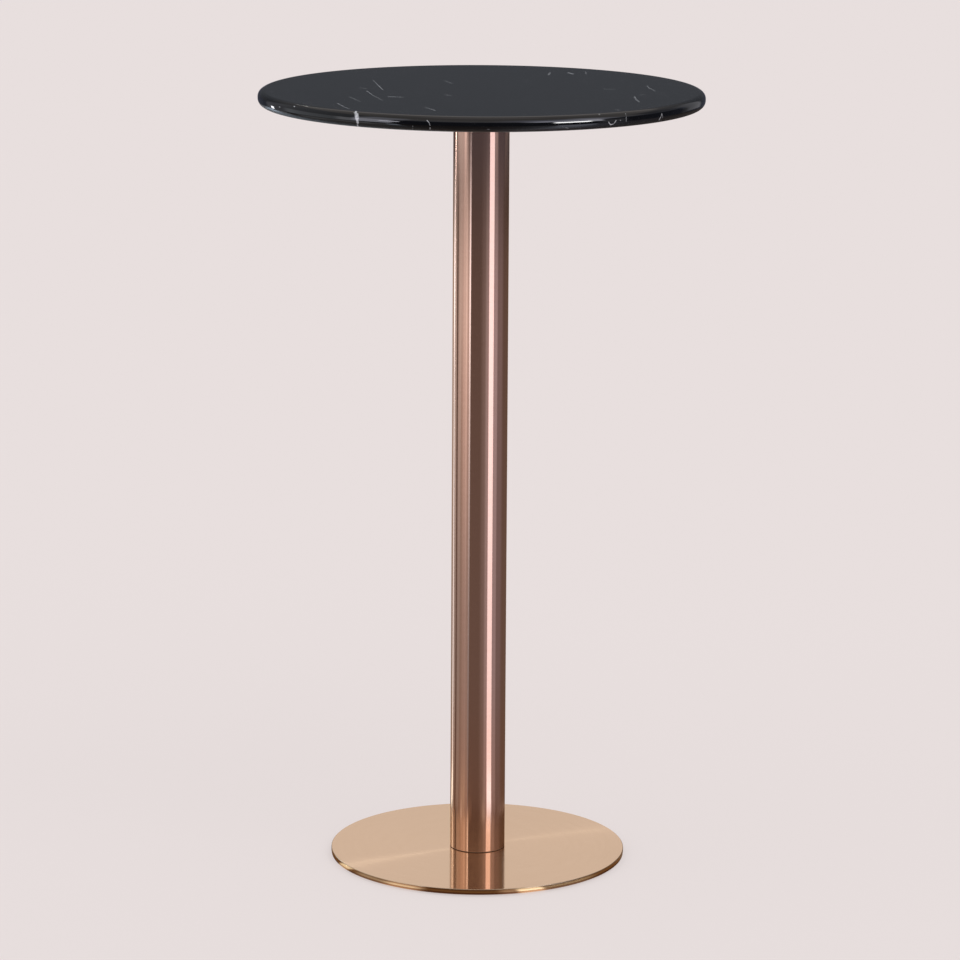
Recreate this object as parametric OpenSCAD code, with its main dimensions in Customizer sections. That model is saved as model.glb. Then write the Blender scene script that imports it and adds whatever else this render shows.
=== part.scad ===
// Round bar table with a stone top, a tube column and a flat weighted base.
// Origin on the floor under the centre, +Z up.

/* [Table] */
// Height of the stone's upper face above the floor
table_h = 1065; // [700:5:1150]

/* [Stone top] */
// Diameter of the stone slab
top_d = 600; // [500:5:800]
// Thickness of the stone slab
top_t = 20; // [19:1:30]
// Radius of the rounding along the slab's upper and lower edge
top_edge_r = 9; // [3:0.5:9]

/* [Column] */
// Outer diameter of the column tube
col_d = 76; // [72:1:102]
// Wall of the column tube
col_wall = 1.5; // [1.2:0.1:2.5]
// Small break on the tube's outer ends
col_end_break = 0.3; // [0.1:0.1:0.6]
// Height of the steel plugs welded into the tube's ends
plug_h = 12; // [11:1:20]
// Chamfer on the inner edge of each plug
plug_chamfer = 1; // [0.5:0.5:2]
// Diameter of the hole through each plug
plug_hole_d = 16; // [8:1:20]

/* [Column foot] */
// Thickness of the dark gasket under the tube
gasket_t = 0.8; // [0.5:0.1:2]
// How far the gasket's edge stays back from the tube's outside
gasket_inset = 0.4; // [0.1:0.1:1]
// Diameter of the spigot that centres the column in the base cover
spigot_d = 60; // [58:1:64]

/* [Base] */
// Outer diameter of the base
base_d = 406; // [390:2:500]
// Thickness of the weight plate
plate_t = 6.4; // [6.2:0.1:10]
// Height of the plate's outer band, which shows under the cover's rim
plate_band_h = 2.5; // [1.5:0.1:2.6]
// How far the plate's band stays back from the cover's rim
plate_band_inset = 0.4; // [0:0.1:1]
// Break on the plate's lower edge
plate_edge_r = 0.5; // [0.2:0.1:0.8]
// Thickness of the cover's sheet
cover_t = 1.4; // [1:0.1:2]
// Rounding of the cover's upper edge
cover_edge_r = 0.8; // [0.4:0.1:0.9]
// Rounding of the cover's lower lip
cover_lip_r = 0.4; // [0.2:0.05:0.45]

/* [Mounting plate] */
// Diameter of the steel plate under the stone
mount_d = 300; // [280:5:400]
// Thickness of the steel plate under the stone
mount_t = 6; // [5:0.5:10]
// Chamfer on the steel plate's lower edge
mount_chamfer = 2; // [1:0.5:3]
// Diameter of the hole in the middle of the steel plate
mount_hole_d = 24; // [16:1:26]
// Distance of the stone's screws from the steel plate's edge
anchor_edge = 25; // [24:1:30]
// Width of the slots for the stone's screws
slot_w = 7.4; // [6.6:0.1:8]
// Length of the slots, end to end
slot_l = 15; // [10:1:16]
// Thickness of the rubber ring between steel and stone
bedding_t = 1.5; // [1:0.5:3]
// Width of the rubber ring
bedding_w = 44; // [30:1:44]
// Diameter of the holes in the rubber ring
bedding_hole_d = 14; // [13:1:16]

/* [Stone anchors] */
// Number of anchors and screws under the stone
anchor_count = 4; // [3:1:8]
// Outer diameter of each threaded sleeve
sleeve_d = 10; // [9:0.5:12]
// Length of each threaded sleeve
sleeve_l = 11; // [9:1:12]
// Solid end of each sleeve beyond its thread
sleeve_end = 1; // [0.5:0.5:2]
// Number of glue grooves round each sleeve
sleeve_grooves = 3; // [1:1:4]
// Depth of the glue grooves round each sleeve
sleeve_groove = 0.4; // [0.2:0.1:0.6]
// Width of each glue groove
sleeve_groove_w = 1.2; // [0.8:0.1:1.6]
// Glue gap between sleeve and stone
glue_gap = 0.2; // [0.1:0.05:0.4]
// Thread diameter of the stone's screws
anchor_screw_d = 6; // [5:0.5:6]
// How far the stone's screws reach into their sleeves
anchor_bite = 9; // [6:0.5:9.5]
// Diameter of the stone screws' round heads
anchor_head_d = 10.5; // [10:0.5:12]
// Height of the stone screws' round heads
anchor_head_h = 3.3; // [3:0.1:4]
// Rounding of the stone screws' heads
anchor_head_edge_r = 2; // [1:0.1:2.4]
// Size across the flats of the stone screws' sockets
anchor_key = 4; // [3:0.5:4]
// Outer diameter of the washers
washer_d = 18; // [18:1:22]
// Thickness of the washers
washer_t = 1.6; // [1.2:0.1:2.5]

/* [Column screws] */
// Number of countersunk screws at each end of the column
col_screw_count = 4; // [3:1:5]
// Radius of the circle that the column's screws lie on
col_screw_ring_r = 21; // [20:0.5:21.5]
// Thread diameter of the column's screws
col_screw_d = 8; // [6:0.5:8]
// How far the column's screws reach into the plugs
col_screw_bite = 10; // [8:0.5:11]
// Diameter of the countersunk heads
csk_head_d = 15.8; // [14:0.1:16]
// How deep the countersunk heads lie below the surface
csk_recess = 0.25; // [0.1:0.05:0.5]
// Size across the flats of the countersunk screws' sockets
csk_key = 5; // [4:0.5:5]
// Depth of the screws' sockets
key_depth = 2.4; // [2:0.1:3]

/* [Levelling glides] */
// Distance of the glides from the base's edge
glide_edge = 38; // [22:1:80]
// Diameter of each glide's plastic pad
pad_d = 30; // [24:1:40]
// Thickness of each glide's plastic pad
pad_t = 2; // [2:0.1:5]
// Gap between a screwed-in pad and the plate
pad_gap = 0.2; // [0.1:0.1:1]
// Rounding of each pad's lower edge
pad_edge_r = 0.6; // [0.2:0.1:0.9]
// Number of grip notches round each pad
notch_count = 16; // [8:1:20]
// Radius of each grip notch
notch_r = 1.4; // [0.8:0.1:1.6]
// Thread diameter of each glide's stud
stud_d = 8; // [6:0.5:10]
// Diameter of the flange at the stud's lower end
stud_flange_d = 14; // [12:0.5:16]
// Thickness of the flange at the stud's lower end
stud_flange_t = 1; // [0.6:0.1:1.2]
// How far the stud's end stays below the base cover
stud_end_gap = 0.3; // [0.2:0.1:1]

/* [Fits] */
// Radial clearance of a thread in its tapped hole
thread_fit = 0.05; // [0.02:0.01:0.09]
// Radial clearance of a screw in a plain hole
hole_fit = 0.5; // [0.2:0.1:0.7]
// Radial clearance of pieces that are pushed or welded together
push_fit = 0.1; // [0.05:0.05:0.2]
// Clearance between the base cover's skirt and the plate
skirt_fit = 0.3; // [0.1:0.1:0.5]
// Clearance of a screw's head in its countersink and of a washer round its screw
seat_fit = 0.15; // [0.1:0.05:0.2]

/* [Hidden] */
// Sides of small round shapes, and of the large ones
$fn = 96;
large_fn = 180;

// How far a cut runs past the face that it opens
past = 1;
// Number of levelling glides, one node each for its stud and its pad
glide_count = 4;
// Angle of the first glide, so that the glides stand between the column's screws
glide_turn = 45;

// Levels of the base, from the floor up
plate_z = pad_t + pad_gap;
plate_top_z = plate_z + plate_t;
cover_top_z = plate_top_z + cover_t;
cover_lip_z = plate_z + plate_band_h + skirt_fit;
tube_z = cover_top_z + gasket_t;

// Levels under the stone, from the stone down
stone_z = table_h - top_t;
mount_top_z = stone_z - bedding_t;
mount_z = mount_top_z - mount_t;
tube_top_z = mount_z;

// Radii that follow from the pieces they fit
base_r = base_d / 2;
col_r = col_d / 2;
tube_bore_r = col_r - col_wall;
plug_r = tube_bore_r - push_fit;
spigot_r = spigot_d / 2;
spigot_hole_r = spigot_r + push_fit;
cover_bore_r = base_r - cover_t;
plate_step_r = cover_bore_r - skirt_fit;
plate_band_r = base_r - plate_band_inset;
anchor_ring_r = mount_d / 2 - anchor_edge;
glide_ring_r = base_r - glide_edge;
stone_hole_r = sleeve_d / 2 + glue_gap;
stone_hole_l = sleeve_l + glue_gap;
thread_r = col_screw_d / 2 - thread_fit;
csk_r = csk_head_d / 2;
csk_h = csk_r - thread_r;
anchor_thread_r = anchor_screw_d / 2 - thread_fit;
stud_r = stud_d / 2 - thread_fit;

// Lengths of the screws, from what they clamp and how far they reach beyond it
anchor_screw_l = washer_t + mount_t + bedding_t + anchor_bite;
head_screw_l = mount_t - csk_recess + col_screw_bite;
base_screw_l = plate_t - csk_recess + col_screw_bite;

// Places a copy of the child at each of count places on a circle
module around(count, radius, turn = 0) {
    for (i = [0 : count - 1])
        rotate([0, 0, turn + 360 * i / count])
            translate([radius, 0, 0])
                children();
}

// Hexagonal key socket, opening upward at z = 0
module key_socket(across) {
    translate([0, 0, -key_depth])
        cylinder(d = across / cos(30), h = key_depth + past, $fn = 6);
}

// Countersunk screw, head up, with its head's face at z = 0
module countersunk_screw(length) {
    difference() {
        rotate_extrude()
            polygon([
                [0, -length],
                [thread_r, -length],
                [thread_r, -csk_h],
                [csk_r, 0],
                [0, 0]
            ]);
        key_socket(csk_key);
    }
}

// Hole for a countersunk screw through a plate whose face is at z = 0
module countersink(plate) {
    hole_r = col_screw_d / 2 + hole_fit;
    mouth_r = csk_r + csk_recess + seat_fit;
    rotate_extrude()
        polygon([
            [0, -plate - past],
            [hole_r, -plate - past],
            [hole_r, hole_r - mouth_r],
            [mouth_r, 0],
            [mouth_r, past],
            [0, past]
        ]);
}

// Half section of a disc whose upper and lower outer edges are rounded
module rounded_disc_section(radius, thickness, upper_r, lower_r) {
    difference() {
        square([radius, thickness]);
        if (upper_r > 0)
            translate([radius - upper_r, thickness - upper_r])
                square([upper_r + past, upper_r + past]);
        if (lower_r > 0)
            translate([radius - lower_r, -past])
                square([lower_r + past, lower_r + past]);
    }
    if (upper_r > 0)
        translate([radius - upper_r, thickness - upper_r])
            intersection() {
                circle(r = upper_r);
                square(upper_r);
            }
    if (lower_r > 0)
        translate([radius - lower_r, lower_r])
            intersection() {
                circle(r = lower_r);
                translate([0, -lower_r])
                    square(lower_r);
            }
}

// The stone slab with blind holes for its anchors
module marble_top() {
    color([0.10, 0.10, 0.11])
        difference() {
            translate([0, 0, stone_z])
                rotate_extrude($fn = large_fn)
                    rounded_disc_section(top_d / 2, top_t, top_edge_r, top_edge_r);
            around(anchor_count, anchor_ring_r)
                translate([0, 0, stone_z - past])
                    cylinder(r = stone_hole_r, h = stone_hole_l + past);
        }
}

// One threaded sleeve, mouth down at z = 0
module anchor_sleeve() {
    thread_hole_r = anchor_screw_d / 2;
    groove_step = sleeve_l / (sleeve_grooves + 1);
    difference() {
        cylinder(d = sleeve_d, h = sleeve_l);
        translate([0, 0, -past])
            cylinder(r = thread_hole_r, h = sleeve_l - sleeve_end + past);
        for (i = [1 : sleeve_grooves])
            translate([0, 0, groove_step * i - sleeve_groove_w / 2])
                difference() {
                    cylinder(d = sleeve_d + past, h = sleeve_groove_w);
                    translate([0, 0, -past])
                        cylinder(d = sleeve_d - 2 * sleeve_groove, h = sleeve_groove_w + 2 * past);
                }
    }
}

// The threaded sleeves glued into the stone
module anchor_sleeves() {
    color([0.80, 0.66, 0.36])
        around(anchor_count, anchor_ring_r)
            translate([0, 0, stone_z])
                anchor_sleeve();
}

// The rubber ring between the steel plate and the stone
module bedding_ring() {
    color([0.08, 0.08, 0.08])
        translate([0, 0, mount_top_z])
            difference() {
                cylinder(r = anchor_ring_r + bedding_w / 2, h = bedding_t);
                translate([0, 0, -past])
                    cylinder(r = anchor_ring_r - bedding_w / 2, h = bedding_t + 2 * past);
                around(anchor_count, anchor_ring_r)
                    translate([0, 0, -past])
                        cylinder(d = bedding_hole_d, h = bedding_t + 2 * past);
            }
}

// One slot for a stone screw, along X
module slot_cut() {
    run = (slot_l - slot_w) / 2;
    translate([0, 0, -past])
        for (side = [-1, 1])
            translate([side * run, 0, 0])
                cylinder(d = slot_w, h = mount_t + 2 * past);
    translate([-run, -slot_w / 2, -past])
        cube([2 * run, slot_w, mount_t + 2 * past]);
}

// The steel plate that carries the stone
module mounting_plate() {
    mount_r = mount_d / 2;
    color([0.15, 0.15, 0.16])
        difference() {
            translate([0, 0, mount_z])
                rotate_extrude($fn = large_fn)
                    polygon([
                        [mount_hole_d / 2, 0],
                        [mount_r - mount_chamfer, 0],
                        [mount_r, mount_chamfer],
                        [mount_r, mount_t],
                        [mount_hole_d / 2, mount_t]
                    ]);
            around(anchor_count, anchor_ring_r)
                translate([0, 0, mount_z])
                    slot_cut();
            around(col_screw_count, col_screw_ring_r)
                translate([0, 0, mount_top_z])
                    countersink(mount_t);
        }
}

// One round-headed screw, head down, with the head's seat at z = 0
module round_head_screw() {
    head_r = anchor_head_d / 2;
    difference() {
        rotate_extrude() {
            square([anchor_thread_r, anchor_screw_l]);
            mirror([0, 1])
                rounded_disc_section(head_r, anchor_head_h, anchor_head_edge_r, 0);
        }
        translate([0, 0, -anchor_head_h])
            mirror([0, 0, 1])
                key_socket(anchor_key);
    }
}

// The screws that hold the steel plate to the stone's anchors
module mounting_screws() {
    color([0.62, 0.62, 0.64])
        around(anchor_count, anchor_ring_r)
            translate([0, 0, mount_z - washer_t])
                round_head_screw();
}

// The washers that bridge the plate's slots
module mounting_washers() {
    hole_r = anchor_screw_d / 2 + seat_fit;
    color([0.70, 0.70, 0.72])
        around(anchor_count, anchor_ring_r)
            translate([0, 0, mount_z - washer_t])
                difference() {
                    cylinder(d = washer_d, h = washer_t);
                    translate([0, 0, -past])
                        cylinder(r = hole_r, h = washer_t + 2 * past);
                }
}

// The screws that hold the steel plate to the column
module head_screws() {
    color([0.30, 0.30, 0.32])
        around(col_screw_count, col_screw_ring_r)
            translate([0, 0, mount_top_z - csk_recess])
                countersunk_screw(head_screw_l);
}

// Steel plug with tapped holes: its body stands on z = 0, with a spigot of the given height below
module column_plug(spigot_h) {
    hole_r = plug_hole_d / 2;
    body = [[plug_r, 0], [plug_r, plug_h - plug_chamfer], [plug_r - plug_chamfer, plug_h], [hole_r, plug_h]];
    foot = spigot_h > 0 ? [[hole_r, -spigot_h], [spigot_r, -spigot_h], [spigot_r, 0]] : [[hole_r, 0]];
    difference() {
        rotate_extrude()
            polygon(concat(foot, body));
        around(col_screw_count, col_screw_ring_r)
            translate([0, 0, -spigot_h - past])
                cylinder(d = col_screw_d, h = spigot_h + plug_h + 2 * past);
    }
}

// The plug in the column's upper end
module column_head_plug() {
    color([0.45, 0.44, 0.43])
        translate([0, 0, tube_top_z])
            mirror([0, 0, 1])
                column_plug(0);
}

// The brushed tube
module column_tube() {
    tube_l = tube_top_z - tube_z;
    color([0.80, 0.58, 0.46])
        translate([0, 0, tube_z])
            rotate_extrude($fn = large_fn)
                polygon([
                    [tube_bore_r, 0],
                    [col_r - col_end_break, 0],
                    [col_r, col_end_break],
                    [col_r, tube_l - col_end_break],
                    [col_r - col_end_break, tube_l],
                    [tube_bore_r, tube_l]
                ]);
}

// The plug in the column's foot, whose spigot goes through the cover to the plate
module column_foot_plug() {
    color([0.45, 0.44, 0.43])
        translate([0, 0, tube_z])
            column_plug(tube_z - plate_top_z);
}

// The dark ring under the tube
module column_foot_gasket() {
    color([0.06, 0.05, 0.05])
        translate([0, 0, cover_top_z])
            difference() {
                cylinder(r = col_r - gasket_inset, h = gasket_t);
                translate([0, 0, -past])
                    cylinder(r = spigot_hole_r, h = gasket_t + 2 * past);
            }
}

// Half section of the base's skin, from its sheet to the lip of its rim
module cover_section() {
    skirt_h = cover_top_z - cover_lip_z;
    difference() {
        translate([0, cover_lip_z])
            rounded_disc_section(base_r, skirt_h, cover_edge_r, cover_lip_r);
        translate([-past, cover_lip_z - past])
            square([cover_bore_r + past, plate_top_z - cover_lip_z + past]);
        translate([-past, plate_top_z - past])
            square([spigot_hole_r + past, cover_t + 2 * past]);
    }
}

// The base's brushed skin
module base_cover() {
    color([0.80, 0.58, 0.46])
        rotate_extrude($fn = large_fn)
            cover_section();
}

// The weight plate under the skin
module base_plate() {
    color([0.42, 0.30, 0.24])
        difference() {
            translate([0, 0, plate_z])
                rotate_extrude($fn = large_fn) {
                    rounded_disc_section(plate_band_r, plate_band_h, 0, plate_edge_r);
                    square([plate_step_r, plate_t]);
                }
            around(col_screw_count, col_screw_ring_r)
                translate([0, 0, plate_z])
                    mirror([0, 0, 1])
                        countersink(plate_t);
            around(glide_count, glide_ring_r, glide_turn)
                translate([0, 0, plate_z - past])
                    cylinder(d = stud_d, h = plate_t + 2 * past);
        }
}

// The screws that hold the base to the column
module base_screws() {
    color([0.30, 0.30, 0.32])
        around(col_screw_count, col_screw_ring_r)
            translate([0, 0, plate_z + csk_recess])
                mirror([0, 0, 1])
                    countersunk_screw(base_screw_l);
}

// Moves the child to the place of one glide, counted from 1
module at_glide(number) {
    rotate([0, 0, glide_turn + 360 * (number - 1) / glide_count])
        translate([glide_ring_r, 0, 0])
            children();
}

// One threaded stud with the flange that the pad is moulded round
module glide_stud(number) {
    flange_z = pad_t - stud_flange_t;
    color([0.66, 0.66, 0.68])
        at_glide(number)
            translate([0, 0, flange_z])
                rotate_extrude() {
                    square([stud_flange_d / 2, stud_flange_t]);
                    square([stud_r, plate_top_z - stud_end_gap - flange_z]);
                }
}

// One plastic pad with grip notches round its rim
module glide_pad(number) {
    pad_r = pad_d / 2;
    color([0.12, 0.12, 0.12])
        at_glide(number)
            difference() {
                rotate_extrude()
                    rounded_disc_section(pad_r, pad_t, 0, pad_edge_r);
                translate([0, 0, pad_t - stud_flange_t])
                    cylinder(d = stud_flange_d, h = stud_flange_t + past);
                around(notch_count, pad_r + notch_r / 2)
                    translate([0, 0, -past])
                        cylinder(r = notch_r, h = pad_t + 2 * past, $fn = 24);
            }
}

marble_top();
anchor_sleeves();
bedding_ring();
mounting_plate();
mounting_screws();
mounting_washers();
head_screws();
column_head_plug();
column_tube();
column_foot_plug();
column_foot_gasket();
base_cover();
base_plate();
base_screws();
glide_stud(1);  // glide_stud_1
glide_stud(2);  // glide_stud_2
glide_stud(3);  // glide_stud_3
glide_stud(4);  // glide_stud_4
glide_pad(1);  // glide_pad_1
glide_pad(2);  // glide_pad_2
glide_pad(3);  // glide_pad_3
glide_pad(4);  // glide_pad_4
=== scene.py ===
import math
from types import SimpleNamespace

import bmesh
import bpy
from mathutils import Matrix, Vector


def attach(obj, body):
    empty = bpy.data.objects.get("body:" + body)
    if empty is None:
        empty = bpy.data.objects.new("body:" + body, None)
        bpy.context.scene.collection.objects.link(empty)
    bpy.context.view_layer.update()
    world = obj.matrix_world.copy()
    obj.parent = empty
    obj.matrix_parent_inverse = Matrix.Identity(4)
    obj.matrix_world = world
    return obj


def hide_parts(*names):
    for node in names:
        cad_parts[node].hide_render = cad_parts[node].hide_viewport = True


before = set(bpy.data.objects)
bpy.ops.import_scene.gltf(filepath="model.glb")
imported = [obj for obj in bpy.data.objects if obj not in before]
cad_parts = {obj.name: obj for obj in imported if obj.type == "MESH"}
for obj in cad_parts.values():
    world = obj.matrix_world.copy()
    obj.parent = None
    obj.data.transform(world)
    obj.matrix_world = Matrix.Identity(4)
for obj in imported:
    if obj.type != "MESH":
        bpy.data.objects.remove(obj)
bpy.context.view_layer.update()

MM = 0.001

# Sizes in metres, the same as the CAD model's
STONE_R = 300 * MM
STONE_Z = 1045 * MM
STONE_T = 20 * MM
STONE_EDGE_R = 9 * MM
ANCHOR_COUNT = 4
ANCHOR_RING_R = 125 * MM
ANCHOR_HOLE_R = 5.2 * MM
ANCHOR_HOLE_DEPTH = 11.2 * MM
TUBE_R = 38 * MM
TUBE_WALL = 1.5 * MM
TUBE_FOOT_Z = 10.8 * MM
TUBE_HEAD_Z = 1037.5 * MM
GASKET_R = 37.6 * MM
GASKET_BORE_R = 30.1 * MM
COVER_R = 203 * MM
COVER_TOP_Z = 10.0 * MM
COVER_SHEET = 1.4 * MM
COVER_LIP_Z = 5.0 * MM
PLATE_Z = 2.2 * MM
MOUNT_Z = 1037.5 * MM
MOUNT_TOP_Z = 1043.5 * MM
COLUMN_SCREW_RING_R = 21 * MM
WASHER_T = 1.6 * MM
GLIDE_RING_R = 165 * MM
PAD_R = 15 * MM
PAD_T = 2 * MM

# M8 threads: outer radius, pitch and depth, and how far a threaded part runs into its head or flange
THREAD_R = 3.95 * MM
THREAD_PITCH = 1.25 * MM
THREAD_DEPTH = 0.6 * MM
OVERLAP = 0.3 * MM

scene = bpy.context.scene
scene.view_settings.view_transform = "Standard"


def placed(name, data):
    """A new object in the scene."""
    thing = bpy.data.objects.new(name, data)
    scene.collection.objects.link(thing)
    return thing


# Node helpers

def fill(tree, node, inputs):
    """Sets or links a node's inputs and returns the node."""
    for key, value in inputs.items():
        if isinstance(value, bpy.types.Node):
            value = value.outputs[0]
        if isinstance(value, bpy.types.NodeSocket):
            tree.links.new(value, node.inputs[key])
        else:
            node.inputs[key].default_value = value
    return node


def put(tree, kind, inputs=None, **settings):
    """Adds a node with its settings, and sets or links its inputs."""
    node = tree.nodes.new(kind)
    for name, value in settings.items():
        setattr(node, name, value)
    return fill(tree, node, inputs or {})


def calc(tree, operation, *values, clamp=False):
    """One number worked out from others."""
    return put(
        tree, "ShaderNodeMath", dict(enumerate(values)), operation=operation, use_clamp=clamp
    ).outputs[0]


def plus(tree, *values):
    """A sum of two numbers."""
    return calc(tree, "ADD", *values)


def minus(tree, *values):
    """The first number less the second."""
    return calc(tree, "SUBTRACT", *values)


def times(tree, *values, **settings):
    """A product of two numbers."""
    return calc(tree, "MULTIPLY", *values, **settings)


def vector_calc(tree, operation, *values):
    """One vector, or for a length or dot product one number, worked out from others."""
    node = put(tree, "ShaderNodeVectorMath", dict(enumerate(values)), operation=operation)
    return node.outputs["Value" if operation in ("LENGTH", "DOT_PRODUCT") else "Vector"]


def point(tree, x=0.0, y=0.0, z=0.0):
    """A vector from three numbers or sockets."""
    return put(tree, "ShaderNodeCombineXYZ", {0: x, 1: y, 2: z}).outputs[0]


def split(tree, vector):
    """The three numbers of a vector."""
    return put(tree, "ShaderNodeSeparateXYZ", {0: vector}).outputs


# Geometry Nodes: turned sections

def start_tree(name, **sizes):
    """A Geometry Nodes tree with one named input for each size, and those inputs' sockets by name."""
    tree = bpy.data.node_groups.new(name, "GeometryNodeTree")
    kinds = {
        float: "NodeSocketFloat", int: "NodeSocketInt", str: "NodeSocketMaterial", None: "NodeSocketGeometry"
    }
    labels = {key: key.replace("_", " ").capitalize() for key in sizes}
    for key, value in sizes.items():
        kind = kinds[None if value is None else type(value)]
        socket = tree.interface.new_socket(labels[key], in_out="INPUT", socket_type=kind)
        if isinstance(value, (float, int)):
            socket.default_value = value
    tree.interface.new_socket("Geometry", in_out="OUTPUT", socket_type="NodeSocketGeometry")
    entry = tree.nodes.new("NodeGroupInput")
    return tree, SimpleNamespace(**{key: entry.outputs[label] for key, label in labels.items()})


def end_tree(tree, geometry, material=None):
    """Ends a tree in real geometry with its material."""
    if material is not None:
        geometry = put(tree, "GeometryNodeRealizeInstances", {0: geometry})
        geometry = put(tree, "GeometryNodeSetMaterial", {"Geometry": geometry, "Material": material})
    put(tree, "NodeGroupOutput", {0: geometry})
    return tree


def by_index(tree, kind, values):
    """One value of a list for each point, in order."""
    switch = put(tree, "GeometryNodeIndexSwitch", data_type=kind)
    while len(switch.index_switch_items) < len(values):
        switch.index_switch_items.new()
    numbered = {str(i): value for i, value in enumerate(values)}
    return fill(tree, switch, {"Index": put(tree, "GeometryNodeInputIndex"), **numbered})


def section(tree, corners, steps):
    """A half section from corners (radius, height) or (radius, height, rounding), numbers or sockets."""
    places = by_index(tree, "VECTOR", [point(tree, *corner[:2]) for corner in corners])
    rounds = by_index(tree, "FLOAT", [corner[2] if len(corner) > 2 else 0.0 for corner in corners])
    line = put(tree, "GeometryNodeMeshLine", {"Count": len(corners)})
    curve = put(tree, "GeometryNodeMeshToCurve", {0: line})
    curve = put(tree, "GeometryNodeSetPosition", {"Geometry": curve, "Position": places})
    return put(
        tree, "GeometryNodeFilletCurve", {"Curve": curve, "Count": steps, "Radius": rounds}, mode="POLY"
    ).outputs[0]


def flat_grid(tree, sides, rows):
    """A grid to roll round the axis, with each corner's share of the turn and its row's number."""
    size = {"Size X": 1.0, "Size Y": 1.0, "Vertices X": plus(tree, sides, 1), "Vertices Y": rows}
    spot = split(tree, put(tree, "GeometryNodeInputPosition"))
    row = calc(tree, "ROUND", times(tree, plus(tree, spot[1], 0.5), minus(tree, rows, 1)))
    return put(tree, "GeometryNodeMeshGrid", size), plus(tree, spot[0], 0.5), row


def rolled(tree, grid, turn, radius, height):
    """Ends a tree in the grid rolled round the Z axis into a closed skin."""
    angle = times(tree, turn, math.tau)
    x, y = (times(tree, radius, calc(tree, side, angle)) for side in ("COSINE", "SINE"))
    skin = put(tree, "GeometryNodeSetPosition", {"Geometry": grid, "Position": point(tree, x, y, height)})
    skin = put(tree, "GeometryNodeMergeByDistance", {"Geometry": skin, "Distance": 2e-6})
    return end_tree(tree, skin.outputs[0])


def lathe_tree():
    """Turns a half section round the Z axis into a closed skin."""
    tree, size = start_tree("turn round the axis", section=None, sides=96)
    count = put(
        tree, "GeometryNodeAttributeDomainSize", {0: size.section}, component="CURVE"
    ).outputs["Point Count"]
    grid, turn, row = flat_grid(tree, size.sides, count)
    sample = put(
        tree,
        "GeometryNodeSampleIndex",
        {"Geometry": size.section, "Value": put(tree, "GeometryNodeInputPosition"), "Index": row},
        data_type="FLOAT_VECTOR",
        domain="POINT",
    )
    half = split(tree, sample)
    return rolled(tree, grid, turn, half[0], half[1])


LATHE = lathe_tree()


def group_node(tree, group, inputs):
    """A node for another tree, with its inputs set or linked."""
    kind = "GeometryNodeGroup" if tree.bl_idname == "GeometryNodeTree" else "ShaderNodeGroup"
    return put(tree, kind, inputs, node_tree=group).outputs[0]


def turned(tree, corners, steps, sides):
    """A turned skin from the corners of its half section."""
    return group_node(tree, LATHE, {"Section": section(tree, corners, steps), "Sides": sides})


def moved(tree, shape, **how):
    """A shape moved or turned."""
    return put(tree, "GeometryNodeTransform", {"Geometry": shape, **how}).outputs[0]


def on_circle(tree, piece, count, radius):
    """Copies of a piece at even steps on a circle, each turned to face outward."""
    ring = put(tree, "GeometryNodeMeshCircle", {"Vertices": count, "Radius": radius})
    spot = split(tree, put(tree, "GeometryNodeInputPosition"))
    facing = point(tree, 0.0, 0.0, calc(tree, "ARCTAN2", spot[1], spot[0]))
    copies = put(
        tree, "GeometryNodeInstanceOnPoints", {"Points": ring, "Instance": piece, "Rotation": facing}
    )
    return put(tree, "GeometryNodeRealizeInstances", {0: copies}).outputs[0]


def cut(tree, body, cutter):
    """A body with another shape cut out of it."""
    node = put(tree, "GeometryNodeMeshBoolean", operation="DIFFERENCE", solver="EXACT")
    tree.links.new(body, node.inputs["Mesh 1"])
    tree.links.new(cutter, node.inputs["Mesh 2"])
    return node.outputs[0]


def joined(tree, *parts):
    """Several shapes as one geometry."""
    node = put(tree, "GeometryNodeJoinGeometry")
    for part in parts:
        tree.links.new(part, node.inputs[0])
    return node.outputs[0]


def bar(tree, radius, length, middle_z, sides):
    """A plain bar along Z, used as a cutter."""
    plain = put(tree, "GeometryNodeMeshCylinder", {"Vertices": sides, "Radius": radius, "Depth": length})
    return moved(tree, plain.outputs["Mesh"], Translation=point(tree, 0.0, 0.0, middle_z))


# The pieces' trees

def stone_tree():
    """The stone slab: rounded edge above and below, blind holes for its anchors."""
    tree, size = start_tree(
        "stone slab",
        radius=STONE_R,
        underside=STONE_Z,
        thickness=STONE_T,
        edge_rounding=STONE_EDGE_R,
        edge_steps=20,
        sides=360,
        anchors=ANCHOR_COUNT,
        anchor_circle=ANCHOR_RING_R,
        hole_radius=ANCHOR_HOLE_R,
        hole_depth=ANCHOR_HOLE_DEPTH,
        material="",
    )
    face = plus(tree, size.underside, size.thickness)
    flat = minus(tree, minus(tree, size.radius, size.edge_rounding), 0.8 * MM)
    corners = [
        (0.0, size.underside),
        (flat, size.underside),
        (size.radius, size.underside, size.edge_rounding),
        (size.radius, face, size.edge_rounding),
        (flat, face),
        (0.0, face),
    ]
    slab = turned(tree, corners, size.edge_steps, size.sides)
    past = times(tree, size.hole_depth, 2.0)
    hole = bar(tree, size.hole_radius, past, size.underside, 48)
    slab = cut(tree, slab, on_circle(tree, hole, size.anchors, size.anchor_circle))
    return end_tree(tree, slab, size.material)


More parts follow.
